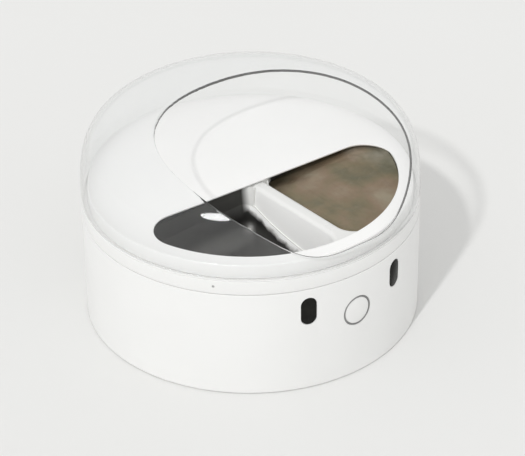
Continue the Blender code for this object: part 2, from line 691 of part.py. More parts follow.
def lip_cutter(index):
    """Cuts a liner's side down to a low lip that sweeps up toward the hub, left-handed for even liners."""
    high = LINER_TOP + 20 * MM
    reach = [8 * MM + 112 * MM * (i / 16) ** 2 for i in range(17)]
    curve = [(x, LIP_Z + LIP_CURVE / (x - LIP_START)) for x in reach]
    outline = [(reach[-1], high), (reach[0], high)] + curve
    left_handed = index % 2 == 0
    sides = (-LIP_SIDE, LIP_REACH) if left_handed else (-LIP_REACH, LIP_SIDE)
    cutter = loft(f"lip_{index}", [(outline, side) for side in sides], None)
    stand = Matrix.Rotation(math.pi / 2, 4, "X")
    swing = Matrix.Rotation(-math.pi / 2 if left_handed else 0, 4, "Z")
    cutter.data.transform(swing @ stand)
    return cutter


def liner(index, turn):
    """Thin steel dish that follows one well, with one side cut down to a lip for lifting it out."""
    low = WELL_FLOOR + GAP
    top = LINER_TOP + MM
    sections = ((well_outline(liner_inset(low)), low), (well_outline(liner_inset(LINER_TOP)), LINER_TOP))
    dish = loft(f"well_liner_{index + 1}", sections, METAL)
    floor = low + LINER_WALL
    inner = [(well_outline(liner_inset(z) + LINER_WALL), z) for z in (floor, top)]
    hollow = loft(f"liner_room_{index}", inner, None)
    lip = lip_cutter(index)
    for thing in (dish, hollow, lip):
        thing.rotation_euler.z = turn
    boolean(dish, hollow)
    boolean(dish, lip)


def food_portion():
    """One soft heap that fills most of the front right well."""
    floor = WELL_FLOOR + LINER_WALL + 2 * GAP
    clear = LINER_WALL + GAP
    layers = ((floor, 0), (FOOD_TOP - 3 * MM, 0), (FOOD_TOP - MM, 4 * MM), (FOOD_TOP, 10 * MM))
    sections = [(well_outline(liner_inset(z) + clear + inset), z) for z, inset in layers]
    food = loft("food_portion", sections, FOOD)
    food.rotation_euler.z = TRAY_TURN


for old in list(bpy.data.objects):
    bpy.data.objects.remove(old, do_unlink=True)
PARTS = collection("automatic_pet_feeder")
CUTTERS = collection("cutters")
WHITE = material("white_plastic", (0.87, 0.87, 0.86), 0.35)
GREY = material("grey_plastic", (0.45, 0.45, 0.45), 0.5)
BLACK = material("black_plastic", (0.02, 0.02, 0.02), 0.15)
RUBBER = material("rubber", (0.08, 0.08, 0.08), 0.8)
STEEL = material("steel", (0.6, 0.6, 0.6), 0.3, 1.0)
METAL = material("brushed_metal", (0.4, 0.4, 0.4), 0.35, 1.0)
BRASS = material("brass", (0.7, 0.5, 0.2), 0.35, 1.0)
BOARD = material("circuit_board", (0.03, 0.2, 0.08), 0.5)
CELL = material("battery_wrap", (0.1, 0.1, 0.12), 0.4)
CLEAR = material("clear_plastic", (0.9, 0.92, 0.92), 0.05)
FOOD = material("food", (0.3, 0.2, 0.12), 0.8)

base_shell()
bottom_cover()
feet_and_screws()
chassis()
drive()
electronics()
front_controls()
tray()
lid()
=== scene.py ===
"""Looks of the automatic pet feeder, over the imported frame.

Fine shells, a clear hood, a tray of wells with liners and food, and materials for every piece.
"""

import json
import math
from bisect import bisect_left

import bmesh
import bpy
from mathutils import Matrix, Vector, noise


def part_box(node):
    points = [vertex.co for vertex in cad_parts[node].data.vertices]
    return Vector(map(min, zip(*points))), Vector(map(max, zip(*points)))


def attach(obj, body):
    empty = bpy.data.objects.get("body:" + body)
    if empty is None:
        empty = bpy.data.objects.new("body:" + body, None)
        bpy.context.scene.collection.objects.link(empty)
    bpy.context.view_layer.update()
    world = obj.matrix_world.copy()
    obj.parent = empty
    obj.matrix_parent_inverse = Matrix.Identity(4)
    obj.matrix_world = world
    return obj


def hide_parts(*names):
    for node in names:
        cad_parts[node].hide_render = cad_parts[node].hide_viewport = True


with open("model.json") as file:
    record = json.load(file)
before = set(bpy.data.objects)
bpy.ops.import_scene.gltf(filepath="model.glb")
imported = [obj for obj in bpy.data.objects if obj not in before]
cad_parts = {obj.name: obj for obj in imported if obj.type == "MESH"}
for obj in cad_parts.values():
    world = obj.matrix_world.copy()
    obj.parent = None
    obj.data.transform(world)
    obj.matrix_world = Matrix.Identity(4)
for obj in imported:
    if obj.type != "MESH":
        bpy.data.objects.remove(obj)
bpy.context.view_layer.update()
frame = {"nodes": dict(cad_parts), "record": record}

MM = 0.001
GAP = 0.3 * MM          # clearance between neighbouring pieces
ROUND = 256             # steps round a turned piece
ALMOST = 0.999          # how far a cutter's round climbs, so that it ends just short of the face

# Sizes read from the frame
BODY_LOW, BODY_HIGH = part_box("base_shell")
COLLAR_LOW, COLLAR_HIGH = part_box("collar_ring")
DECK_LOW, DECK_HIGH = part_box("deck")
HOOD_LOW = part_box("clear_hood")[0]
TRAY_LOW, TRAY_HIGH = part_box("food_tray")
LINER_LOW, LINER_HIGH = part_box("well_liner_1")
FOOD_LOW, FOOD_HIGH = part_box("food_portion")
COVER_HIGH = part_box("bottom_cover")[1]
CAP_LOW, CAP_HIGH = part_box("button_cap")
PANE_LOW, PANE_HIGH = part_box("sensor_window_right")
INLET_LOW, INLET_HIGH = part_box("power_inlet")
BODY_R = BODY_HIGH[0]
COLLAR_R = COLLAR_HIGH[0]
DECK_R = DECK_HIGH[0]
DECK_TOP = DECK_HIGH[2]
TRAY_R = TRAY_HIGH[0]
TRAY_TOP = TRAY_HIGH[2]
BUTTON_Z = (CAP_LOW[2] + CAP_HIGH[2]) / 2
SENSOR_Z = (PANE_LOW[2] + PANE_HIGH[2]) / 2
SENSOR_HEIGHT = PANE_HIGH[2] - PANE_LOW[2]
INLET_Z = (INLET_LOW[2] + INLET_HIGH[2]) / 2

# Body wall, and the ledge round the bottom cover
WALL = 3 * MM
BOTTOM_ROUND = 0.6 * MM
SHELF = 1.5 * MM
SHELF_Z = 33.7 * MM
LEDGE = 7 * MM
LEDGE_THICK = 2.5 * MM
EDGE_ROUND = 0.5 * MM
SEAM = 0.4 * MM
INSIDE = 100 * MM       # radii well inside and well outside the wall, where cutters start and end
OUTSIDE = 130 * MM

# Collar
SPIGOT_R = 115.6 * MM
COLLAR_IN = 113 * MM
MARK_HOLE_R = 0.95 * MM
MARK_HOLE_START = 112 * MM

# Hood, whose profile is a superellipse, and its feeding hole, a soft square along a tilted axis
HOOD_BASE = 82.6 * MM
HOOD_HEIGHT = 73.1 * MM
HOOD_POWER = 4.65
HOOD_DRAFT = 0.004
HOOD_WALL = 1.5 * MM
HOLE_HALF = 86 * MM
HOLE_POWER = 2.22
HOLE_TILT = math.radians(8.1)
HOLE_CENTRE = Vector((0, -35 * MM, 120 * MM))
HOLE_SILL = 97.6 * MM
SILL_EASE = 1.2 * MM    # softness of the turn from the hole's edge onto the sill

# Deck and its half-moon window
DECK_THICK = 2.4 * MM
DECK_EDGE = 0.8 * MM
WINDOW_R = 104.5 * MM
WINDOW_CHORD = 10.5 * MM
WINDOW_CORNER = 21.2 * MM
WINDOW_TURN = math.radians(-1.9)
ARC_GAP = 0.02          # radians left between the end points of neighbouring arcs

# Tray and its wells
TRAY_TURN = math.radians(3)
TRAY_RIM = 1.5 * MM
WELL_FLOOR = 60.3 * MM
DIVIDER = 10 * MM
WELL_CORNER = 16 * MM
HUB_CORNER = 4 * MM
SHARPEST_CORNER = 0.5 * MM
WELL_DRAFT = 3.2 * MM
WELL_FILLET = 3 * MM
DIVIDER_ROUND = 3 * MM
RIM_ROUND = 0.5 * MM

# Liners. At a distance x from the hub the lip is LIP_Z + LIP_CURVE / (x - LIP_START) high
LINER_WALL = 0.6 * MM
DISH_FILLET = 14 * MM
DISH_CORNER = 9 * MM
LIP_Z = 63 * MM
LIP_START = -40 * MM
LIP_CURVE = 1190 * MM * MM
LIP_NEAR = 12 * MM
LIP_RUN = 108 * MM
LIP_SIDE = 16 * MM
LIP_REACH = 30 * MM
LIP_LIGHT_DEPTH = 8.5 * MM     # depth of the painted pale band of light below the lip
GRIP_NEAR = 14 * MM
GRIP_FAR = 94 * MM
GRIP_FOLD = 4 * MM

# Food
FOOD_CENTRE = Vector((47 * MM, -47 * MM))
FOOD_RISE = 0.1 * MM
FOOD_DIP = 1.1 * MM
FOOD_SINK = 4.6 * MM
FOOD_RELIEF = 1 * MM

# Sensor windows and button
SENSOR_ANGLE = math.radians(18.2)
SENSOR_WIDTH = 11 * MM
PANE_BACK = 115.9 * MM
RING_R = 11.2 * MM
RING_BACK = 114.6 * MM
RING_FLANGE = 1 * MM
RING_FLANGE_R = RING_R + 1.2 * MM
CAP_R = 10 * MM
CAP_LIP_R = CAP_R + 1 * MM
CAP_HOLLOW_R = 7 * MM
CAP_BACK = 113 * MM
STEM_R = 2 * MM
STEM_BACK = 112.4 * MM

# The view
VIEW_TURN = math.radians(-36.7)
VIEW_RISE = math.radians(34.5)
VIEW_DISTANCE = 14.54 * BODY_R
VIEW_LENS = 164.1
VIEW_SENSOR = 36
VIEW_FAR = 50
VIEW_PAN = -0.0047
VIEW_TILT = 0.0279
VIEW_ROLL = 0.0162

# Light: a lamp high on the left, a wider gleam from the same side, and an even sky
LAMP_TRAVEL = Vector((0.670, 0.350, -0.655))
LAMP_STRENGTH = 1.15
LAMP_SPREAD = math.radians(2.6)
GLEAM_STRENGTH = 1.05
GLEAM_SPREAD = math.radians(19)
SKY_STRENGTH = 0.8
SKY_TONE = (1, 1, 0.995)
FLOOR_SIZE = 6

# Materials
NOISE_LOW = 0.3         # between these two values lies nearly all of a noise pattern
NOISE_HIGH = 0.7
DARK_STEEL = (0.09, 0.089, 0.085)
# Painted glow: the thin white walls and the liners' pale band give off faint light of their own
GLOW_TONE = (1, 1, 0.985)
PAINTED_GLOW = 0.1     # strength of the painted glow, which stands in for light through the thin white walls
RIM_SHADE = 0.3         # share of the light that passes the hood at its rim
RIM_FROST = 0.2         # share of frosted surface at the rim


# ---------------------------------------------------------------- mesh helpers

def link(name, mesh):
    """Link a mesh as one named object."""
    thing = bpy.data.objects.new(name, mesh)
    bpy.context.scene.collection.objects.link(thing)
    return thing


def settle(thing, sharp=35):
    """Apply the modifiers to the mesh and shade it smooth up to an angle in degrees."""
    bpy.context.view_layer.update()
    done = thing.evaluated_get(bpy.context.evaluated_depsgraph_get())
    mesh = bpy.data.meshes.new_from_object(done)
    mesh.name = thing.name
    thing.modifiers.clear()
    thing.data = mesh
    mesh.shade_smooth()
    mesh.set_sharp_from_angle(angle=math.radians(sharp))
    return thing


def carve(thing, others, operation="DIFFERENCE"):
    """Cut, join or intersect with other objects, which are then removed."""
    for other in others:
        step = thing.modifiers.new("Carve", "BOOLEAN")
        step.operation = operation
        step.solver = "EXACT"
        step.object = other
    settle(thing)
    for other in others:
        bpy.data.objects.remove(other, do_unlink=True)
    return thing


def bevel(thing, width, segments=2, angle=40):
    """Round the sharp edges."""
    step = thing.modifiers.new("Bevel", "BEVEL")
    step.width = width
    step.segments = segments
    step.limit_method = "ANGLE"
    step.angle_limit = math.radians(angle)
    step.harden_normals = False
    return settle(thing)


def turned(name, profile, closed=True, steps=ROUND):
    """Turn a profile, given as (radius, height) down its outer side, about Z."""
    mesh = bpy.data.meshes.new(name)
    edges = [(i, i + 1) for i in range(len(profile) - 1)]
    if closed:
        edges.append((len(profile) - 1, 0))
    mesh.from_pydata([(r, 0, z) for r, z in profile], edges, [])
    thing = link(name, mesh)
    screw = thing.modifiers.new("Screw", "SCREW")
    screw.steps = steps
    screw.render_steps = steps
    screw.use_merge_vertices = True
    screw.merge_threshold = 0.01 * MM
    return settle(thing)


def finished(shape, name):
    """Turn a bmesh into a named mesh."""
    mesh = bpy.data.meshes.new(name)
    shape.to_mesh(mesh)
    shape.free()
    return mesh


def bridge(shape, loops):
    """Add the faces between loops of points that follow each other."""
    count = len(loops[0])
    for low, high in zip(loops, loops[1:]):
        for i in range(count):
            j = (i + 1) % count
            shape.faces.new((low[i], low[j], high[j], high[i]))


def loft(name, sections):
    """Close a solid through outlines with equal point counts, each given as (outline, height)."""
    shape = bmesh.new()
    loops = [[shape.verts.new((x, y, z)) for x, y in outline] for outline, z in sections]
    bridge(shape, loops)
    shape.faces.new(loops[0][::-1])
    shape.faces.new(loops[-1])
    bmesh.ops.recalc_face_normals(shape, faces=shape.faces)
    return link(name, finished(shape, name))


def box(name, low, high):
    """A plain block between two corners, used as a cutter."""
    x0, y0, z0 = low
    x1, y1, z1 = high
    outline = [(x0, y0), (x1, y0), (x1, y1), (x0, y1)]
    return loft(name, ((outline, z0), (outline, z1)))


def arc(centre_r, centre_z, radius, start, end, steps=5):
    """Points of an arc in the (radius, height) plane, angles in degrees."""
    turn = [math.radians(start + (end - start) * i / steps) for i in range(steps + 1)]
    return [(centre_r + radius * math.cos(a), centre_z + radius * math.sin(a)) for a in turn]


def round_corner(centre, radius, start, end, steps):
    """Points of a corner arc in plan, angles in radians."""
    turn = [start + (end - start) * i / steps for i in range(steps + 1)]
    return [(centre[0] + radius * math.cos(a), centre[1] + radius * math.sin(a)) for a in turn]


def pill(width, height, steps=16):
    """Upright outline with half-round ends."""
    radius = width / 2
    rise = height / 2 - radius
    return (round_corner((0, rise), radius, 0, math.pi, steps)
            + round_corner((0, -rise), radius, math.pi, 2 * math.pi, steps))


def circle(radius, steps=64):
    """Round outline."""
    return round_corner((0, 0), radius, 0, 2 * math.pi * (1 - 1 / steps), steps - 1)


def outward(thing, angle, height):
    """Turn an object whose own Z axis should point out of the wall, at an angle from the front."""
    swing = Matrix.Rotation(angle, 4, "Z") @ Matrix.Rotation(math.pi / 2, 4, "X")
    thing.data.transform(Matrix.Translation((0, 0, height)) @ swing)
    return thing


def wall_cutter(name, outline_at, soft=0.12 * MM):
    """A cutter through the wall whose mouth flares a little, so that the hole's edge is soft.

    outline_at gives the outline grown by an amount.
    """
    sections = ((outline_at(0), INSIDE), (outline_at(0), BODY_R - 2 * soft))
    sections += ((outline_at(soft), BODY_R), (outline_at(soft * 8), BODY_R + 3 * soft))
    return loft(name, sections)


# ---------------------------------------------------------------- outlines

def window_outline(grow=0.0):
    """Half-moon outline in front of the chord, with rounded corners."""
    outer = WINDOW_R + grow
    corner = WINDOW_CORNER + grow
    near = WINDOW_CHORD - grow + corner
    side = math.sqrt((outer - corner) ** 2 - near ** 2)
    turn = math.atan2(near, side)
    arc_steps, corner_steps = 110, 26
    points = round_corner((0, 0), outer, -turn - ARC_GAP, turn - math.pi + ARC_GAP, arc_steps)
    points += round_corner((-side, -near), corner, turn - math.pi, -1.5 * math.pi, corner_steps)
    points += round_corner((side, -near), corner, math.pi / 2, -turn, corner_steps)
    return points


def well_outline(inset=0.0, side_inset=None, sharpest=SHARPEST_CORNER):
    """Rounded quarter-circle outline in the +X -Y quarter, tighter at the hub, moved in by inset."""
    side = DIVIDER / 2 + (inset if side_inset is None else side_inset)
    outer = TRAY_R - TRAY_RIM - inset
    corner = max(WELL_CORNER - inset, sharpest)
    hub = max(HUB_CORNER - inset, sharpest)
    near = side + corner
    far = math.sqrt((outer - corner) ** 2 - near ** 2)
    turn = math.atan2(near, far)
    start, end = turn - math.pi / 2 + ARC_GAP, -turn - ARC_GAP
    arc_steps, corner_steps = 36, 14
    points = round_corner((side + hub, -side - hub), hub, math.pi / 2, math.pi, corner_steps)
    points += round_corner((near, -far), corner, math.pi, 1.5 * math.pi + turn, corner_steps)
    points += round_corner((0, 0), outer, start, end, arc_steps)
    points += round_corner((far, -near), corner, -turn, math.pi / 2, corner_steps)
    return points


def draft_inset(height):
    """How far the drafted well wall stands in from its top outline at a height."""
    return WELL_DRAFT * (TRAY_TOP - height) / (TRAY_TOP - WELL_FLOOR)


def bowl_sections(floor, inset, radius, top, sharpest=SHARPEST_CORNER, steps=10):
    """Sections of a drafted well with a filleted floor, kept inset inside the drafted wall."""
    sections = []
    for i in range(steps + 1):
        turn = math.pi / 2 * i / steps
        height = floor + radius * (1 - math.cos(turn))
        extra = radius * (1 - math.sin(turn))
        sections.append((well_outline(draft_inset(height) + inset + extra, None, sharpest), height))
    sections.append((well_outline(draft_inset(top) + inset, None, sharpest), top))
    return sections


def hood_point(angle):
    """One point of the hood's outer profile, from the rim (0) to the crown (pi / 2)."""
    rise = math.sin(angle) ** (2 / HOOD_POWER)
    radius = BODY_R * (1 - HOOD_DRAFT * rise) * math.cos(angle) ** (2 / HOOD_POWER)
    return radius, HOOD_BASE + HOOD_HEIGHT * rise


def in_hole(radius, angle, height):
    """True where a point of the hood lies inside the feeding hole, a soft square along a tilted axis."""
    point = Vector((radius * math.cos(angle), radius * math.sin(angle), height)) - HOLE_CENTRE
    local = Matrix.Rotation(-HOLE_TILT, 3, "X") @ point
    return abs(local.x) ** HOLE_POWER + abs(local.y) ** HOLE_POWER < HOLE_HALF ** HOLE_POWER


def hood_profile(count=900, crowding=2.2):
    """The hood's profile from the crown to its foot as (distance along it, radius, height).

    The points crowd together toward the foot.
    """
    low = math.asin(((HOOD_LOW[2] - HOOD_BASE) / HOOD_HEIGHT) ** (HOOD_POWER / 2))
    points = []
    length = 0.0
    for i in range(count + 1):
        share = 1 - (1 - i / count) ** crowding
        radius, height = hood_point(math.pi / 2 + (low - math.pi / 2) * share)
        if points:
            length += math.hypot(radius - points[-1][1], height - points[-1][2])
        points.append((length, radius, height))
    return points


def profile_at(points, length):
    """Radius and height at a distance along the hood's profile."""
    i = min(max(bisect_left(points, (length,)), 1), len(points) - 1)
    start, end = points[i - 1], points[i]
    share = (length - start[0]) / max(end[0] - start[0], 1e-9)
    return tuple(start[k] + (end[k] - start[k]) * share for k in (1, 2))


def rim_length(points, angle):
    """Distance along the profile where the hood starts below the feeding hole.

    The height is a soft maximum of the hole's edge and the sill.
    """
    low, high = 0, len(points) - 1
    while high - low > 1:
        middle = (low + high) // 2
        if in_hole(points[middle][1], angle, points[middle][2]):
            low = middle
        else:
            high = middle
    over = (points[low][2] - HOLE_SILL) / SILL_EASE
    well_over = 30
    height = HOLE_SILL + SILL_EASE * (over if over > well_over else math.log1p(math.exp(over)))
    while points[low][2] < height and low > 0:
        low -= 1
    return points[low][0]


# ---------------------------------------------------------------- materials

def material(name, colour, roughness, metallic=0.0):
    """A Principled material; returns it with its tree and shader."""
    made = bpy.data.materials.new(name)
    made.use_nodes = True
    tree = made.node_tree
    shader = tree.nodes["Principled BSDF"]
    shader.inputs["Base Color"].default_value = (*colour, 1)
    shader.inputs["Roughness"].default_value = roughness
    shader.inputs["Metallic"].default_value = metallic
    return made, tree, shader


def node(tree, kind, **values):
    """Add a node and set its sockets or properties by name."""
    made = tree.nodes.new(kind)
    for key, value in values.items():
        name = key.replace("_", " ").title()
        if name in made.inputs:
            made.inputs[name].default_value = value
        else:
            setattr(made, key, value)
    return made


def pattern(tree, scale, detail=4.0, stretch=(1, 1, 1)):
    """Noise over the object's own space, in metres, stretched along its axes."""
    place = node(tree, "ShaderNodeTexCoord")
    shape = node(tree, "ShaderNodeMapping")
    shape.inputs["Scale"].default_value = stretch
    cloud = node(tree, "ShaderNodeTexNoise", scale=scale, detail=detail)
    tree.links.new(place.outputs["Object"], shape.inputs["Vector"])
    tree.links.new(shape.outputs["Vector"], cloud.inputs["Vector"])
    return cloud.outputs["Fac"]


def axis(tree, name):
    """One coordinate in the object's own space, in metres."""
    place = node(tree, "ShaderNodeTexCoord")
    parts = node(tree, "ShaderNodeSeparateXYZ")
    tree.links.new(place.outputs["Object"], parts.inputs["Vector"])
    return parts.outputs[name]


def maths(tree, operation, first, second):
    """A sum, product and so on of two values, each a socket or a number."""
    made = node(tree, "ShaderNodeMath", operation=operation)
    for socket, value in zip(made.inputs, (first, second)):
        if isinstance(value, (int, float)):
            socket.default_value = value
        else:
            tree.links.new(value, socket)
    return made.outputs["Value"]


def ranged(tree, source, start, end, low, high):
    """Map a value from one range to another, held at both ends."""
    made = node(tree, "ShaderNodeMapRange")
    for name, value in (("From Min", start), ("From Max", end), ("To Min", low), ("To Max", high)):
        made.inputs[name].default_value = value
    tree.links.new(source, made.inputs["Value"])
    return made.outputs["Result"]


def drift(tree, scale, detail, low, high, stretch=(1, 1, 1)):
    """Noise that wanders between two values."""
    return ranged(tree, pattern(tree, scale, detail, stretch), NOISE_LOW, NOISE_HIGH, low, high)


def ramp(tree, source, stops):
    """Colours along a value, each stop given as (position, colour), from low to high."""
    made = node(tree, "ShaderNodeValToRGB")
    for at, _ in stops[1:-1]:
        made.color_ramp.elements.new(at)
    for stop, (at, colour) in zip(made.color_ramp.elements, stops):
        stop.position = at
        stop.color = (*colour, 1)
    tree.links.new(source, made.inputs["Fac"])
    return made.outputs["Color"]


def mixed(tree, factor, first, second, kind="MIX"):
    """Blend from a colour socket to a fixed colour by a factor."""
    made = node(tree, "ShaderNodeMix", data_type="RGBA", blend_type=kind)
    made.inputs["B"].default_value = (*second, 1)
    tree.links.new(factor, made.inputs["Factor"])
    tree.links.new(first, made.inputs["A"])
    return made.outputs["Result"]


def shaders_mixed(tree, factor, first, second):
    """Go from one shader to another by a factor."""
    made = node(tree, "ShaderNodeMixShader")
    tree.links.new(factor, made.inputs["Fac"])
    tree.links.new(first, made.inputs[1])
    tree.links.new(second, made.inputs[2])
    return made.outputs["Shader"]


def tint(tree, source, dark, light, shader):
    """Colour a shader between two colours by a pattern."""
    colour = ramp(tree, source, ((0.35, dark), (0.65, light)))
    tree.links.new(colour, shader.inputs["Base Color"])


def wander(tree, shader, scale, detail, low, high, stretch=(1, 1, 1)):
    """Let the roughness wander between two values."""
    tree.links.new(drift(tree, scale, detail, low, high, stretch), shader.inputs["Roughness"])


def paint_glow(tree, shader, amount):
    """Painted glow: faint light of the surface's own, which stands in for light that passes through a
    thin wall.
    """
    shader.inputs["Emission Color"].default_value = (*GLOW_TONE, 1)
    tree.links.new(amount, shader.inputs["Emission Strength"])


def grain(tree, shader, source, distance):
    """Raise a fine relief from a pattern."""
    relief = node(tree, "ShaderNodeBump")
    relief.inputs["Strength"].default_value = 1.0
    relief.inputs["Distance"].default_value = distance
    tree.links.new(source, relief.inputs["Height"])
    tree.links.new(relief.outputs["Normal"], shader.inputs["Normal"])


def moulded(name, colour, roughness=0.38, relief=0.006 * MM):
    """Moulded plastic: a faint even texture, and gloss that wanders a little."""
    made, tree, shader = material(name, colour, roughness)
    tint(tree, pattern(tree, 18, 3), tuple(c * 0.985 for c in colour), colour, shader)
    wander(tree, shader, 45, 5, roughness - 0.05, roughness + 0.06)
    grain(tree, shader, pattern(tree, 1400, 2), relief)
    return made


def brushed(name, colour, roughness, stretch=(1, 1, 1), relief=0.004 * MM):
    """Metal with brushing along the axis that is stretched least."""
    made, tree, shader = material(name, colour, roughness, 1.0)
    tint(tree, pattern(tree, 60, 4), tuple(c * 0.86 for c in colour), colour, shader)
    wander(tree, shader, 240, 6, roughness - 0.06, roughness + 0.1, stretch)
    grain(tree, shader, pattern(tree, 240, 6, stretch), relief)
    return made


def below_lip(tree):
    """Distance below a liner's lip, measured square to its curve and exact close to it."""
    along = maths(tree, "SUBTRACT", axis(tree, "X"), LIP_START)
    above = maths(tree, "SUBTRACT", axis(tree, "Z"), LIP_Z)
    short = maths(tree, "SUBTRACT", LIP_CURVE, maths(tree, "MULTIPLY", along, above))
    squares = maths(tree, "ADD", maths(tree, "POWER", along, 2.0), maths(tree, "POWER", above, 2.0))
    return maths(tree, "DIVIDE", short, maths(tree, "SQRT", squares, 0.0))


def painted_lip_light(tree, below):
    """Mask of the painted light below a liner's lip: 1 at the lip, fading out over its side wall with an
    uneven, soft edge.

    It stays on the wall beside the divider and ends where the dish turns away from it.
    """
    wave, full, gone = 0.22 * LIP_LIGHT_DEPTH, 0.25 * LIP_LIGHT_DEPTH, 0.85 * LIP_LIGHT_DEPTH
    smoky = maths(tree, "ADD", below, drift(tree, 110, 4, -wave, wave))
    fade = ranged(tree, smoky, full, gone, 1, 0)
    wall_near, wall_far = 9 * MM, 14 * MM
    off_divider = maths(tree, "ABSOLUTE", axis(tree, "Y"), 0.0)
    on_wall = ranged(tree, off_divider, wall_near, wall_far, 1, 0)
    return maths(tree, "MULTIPLY", fade, on_wall)


def liner_steel():
    """Dark steel with a slight roll to it, with a painted pale band of light along the lip and painted
    shade on its very edge.
    """
    made, tree, shader = material("liner_steel", DARK_STEEL, 0.34, 1.0)
    below = below_lip(tree)
    band = painted_lip_light(tree, below)
    # painted light: a pale band below the lip, standing in for the lit white wall and its soft
    # reflection in the steel
    painted_pale = ramp(tree, band, ((0, DARK_STEEL), (1, (0.96, 0.96, 0.945))))
    # painted shade on the lip's very edge, which faces up into the light
    edge_shade = ranged(tree, below, 0.3 * MM, 1.3 * MM, 1, 0)
    edge_shaded = mixed(tree, edge_shade, painted_pale, (0.66, 0.66, 0.65), "MULTIPLY")
    tree.links.new(edge_shaded, shader.inputs["Base Color"])
    tree.links.new(maths(tree, "SUBTRACT", 1, band), shader.inputs["Metallic"])
    # painted glow in the pale band
    paint_glow(tree, shader, maths(tree, "MULTIPLY", band, 1.6 * PAINTED_GLOW))
    wander(tree, shader, 240, 6, 0.38, 0.5, (0.15, 1, 1))
    grain(tree, shader, pattern(tree, 70, 2), 0.12 * MM)
    return made


def tray_white():
    """Satin white, with painted shade on the divider tops and a painted glow on the thin walls."""
    made, tree, shader = material("white_tray", (0.95, 0.95, 0.94), 0.4)
    # painted shade: the divider tops are coloured darker than the walls, for the light that falls on
    # them from above
    rim = ranged(tree, axis(tree, "Z"), TRAY_TOP - DIVIDER_ROUND, TRAY_TOP, 0, 1)
    shade = ramp(tree, rim, ((0, (0.97, 0.97, 0.955)), (1, (0.79, 0.79, 0.775))))
    tree.links.new(shade, shader.inputs["Base Color"])
    # painted glow on the walls, below the divider tops
    walls = maths(tree, "SUBTRACT", 1, rim)
    paint_glow(tree, shader, maths(tree, "MULTIPLY", walls, PAINTED_GLOW))
    wander(tree, shader, 45, 5, 0.26, 0.38)
    grain(tree, shader, pattern(tree, 1400, 2), 0.006 * MM)
    return made


def rubber():
    """Dark rubber with a dry, dusty surface."""
    made, tree, shader = material("dark_rubber", (0.05, 0.05, 0.05), 0.8)
    tint(tree, pattern(tree, 120, 6), (0.035, 0.035, 0.035), (0.07, 0.07, 0.068), shader)
    grain(tree, shader, pattern(tree, 900, 4), 0.02 * MM)
    return made


def dark_glass():
    """Dark window in front of a sensor: glossy, with a faint inner depth."""
    made, tree, shader = material("dark_window", (0.012, 0.012, 0.012), 0.2)
    tint(tree, pattern(tree, 160, 3), (0.011, 0.011, 0.010), (0.016, 0.016, 0.014), shader)
    wander(tree, shader, 260, 3, 0.16, 0.24)
    shader.inputs["Specular IOR Level"].default_value = 0.07
    return made


def clear_plastic():
    """Clear plastic, frosted at the foot and a little along the feeding hole's rim.

    Lamp light and scattered light go straight through it, less so where it slants or near the rim.
    """
    made, tree, shader = material("clear_plastic", (0.985, 0.99, 0.99), 0.0)
    shader.inputs["Transmission Weight"].default_value = 1.0
    shader.inputs["IOR"].default_value = 1.49
    near_rim = node(tree, "ShaderNodeAttribute", attribute_name="near_rim").outputs["Fac"]
    slant = node(tree, "ShaderNodeLayerWeight", blend=0.35).outputs["Facing"]
    loss = ramp(tree, slant, ((0, (0.98,) * 3), (0.3, (0.95,) * 3), (0.9, (0.5,) * 3)))
    along_rim = ranged(tree, near_rim, 0.35, 0.6, 0, 1)
    through = mixed(tree, along_rim, loss, (RIM_SHADE,) * 3, "MULTIPLY")
    path = node(tree, "ShaderNodeLightPath")
    result = shader.outputs["BSDF"]
    for kind in ("Is Shadow Ray", "Is Diffuse Ray"):
        thin = node(tree, "ShaderNodeBsdfTransparent")
        tree.links.new(through, thin.inputs["Color"])
        result = shaders_mixed(tree, path.outputs[kind], result, thin.outputs["BSDF"])
    frosted = node(tree, "ShaderNodeBsdfPrincipled", roughness=0.6)
    frosted.inputs["Base Color"].default_value = (0.88, 0.88, 0.87, 1)
    frosted_to, clear_from = HOOD_LOW[2] + 0.6 * MM, HOOD_LOW[2] + 1.6 * MM
    foot_frost = ranged(tree, axis(tree, "Z"), frosted_to, clear_from, 1, 0)
    rim_frost = ranged(tree, near_rim, 0.85, 1, 0, RIM_FROST)
    frost = maths(tree, "MAXIMUM", foot_frost, rim_frost)
    result = shaders_mixed(tree, frost, result, frosted.outputs["BSDF"])
    tree.links.new(result, tree.nodes["Material Output"].inputs["Surface"])
    return made


